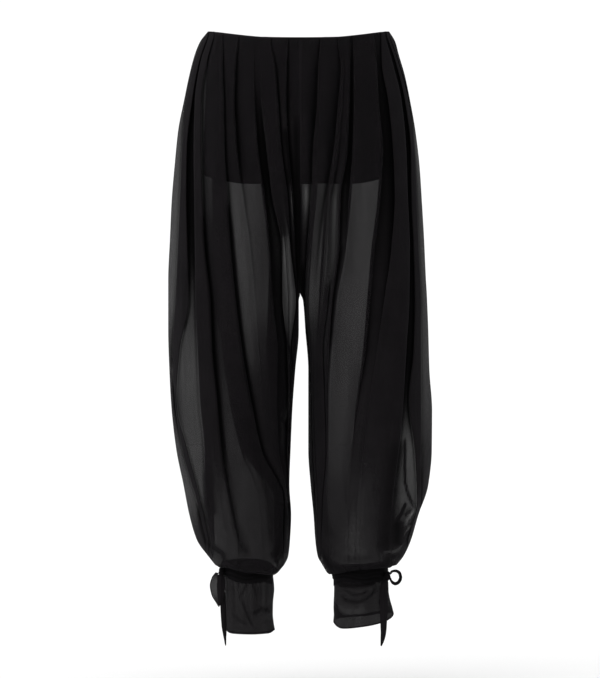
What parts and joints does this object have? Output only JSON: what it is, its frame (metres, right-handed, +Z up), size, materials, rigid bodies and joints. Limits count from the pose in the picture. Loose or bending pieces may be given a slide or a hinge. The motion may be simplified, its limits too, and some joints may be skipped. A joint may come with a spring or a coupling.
{
  "type": "harem pants",
  "caption": "Sheer pleated harem trousers over a short opaque lining, bloused at the ankles over tied hemmed cuffs, holding their worn form.",
  "frame": {"origin": "middle of the waist opening, where a wearer's waist holds it", "axes": "+X towards the wearer's left, -Y towards the front, +Z up"},
  "size_m": [0.447, 0.2595, 1.04],
  "materials": {
    "chiffon": "sheer matte crepe chiffon",
    "lining": "opaque matte plain weave",
    "ribbon": "folded chiffon tie"
  },
  "bodies": {
    "root": {"front_right": "chiffon", "front_left": "chiffon", "back_right": "chiffon", "back_left": "chiffon", "lining_front_right": "lining", "lining_front_left": "lining", "lining_back_right": "lining", "lining_back_left": "lining", "ankle_band_right": "ribbon", "ankle_band_left": "ribbon", "cuff_right": "chiffon", "cuff_left": "chiffon", "tie_knot_right": "ribbon", "tie_knot_left": "ribbon", "tie_loop_right": "ribbon", "tie_loop_left": "ribbon", "tie_tail_right": "ribbon", "tie_tail_left": "ribbon"}
  },
  "joints": []
}
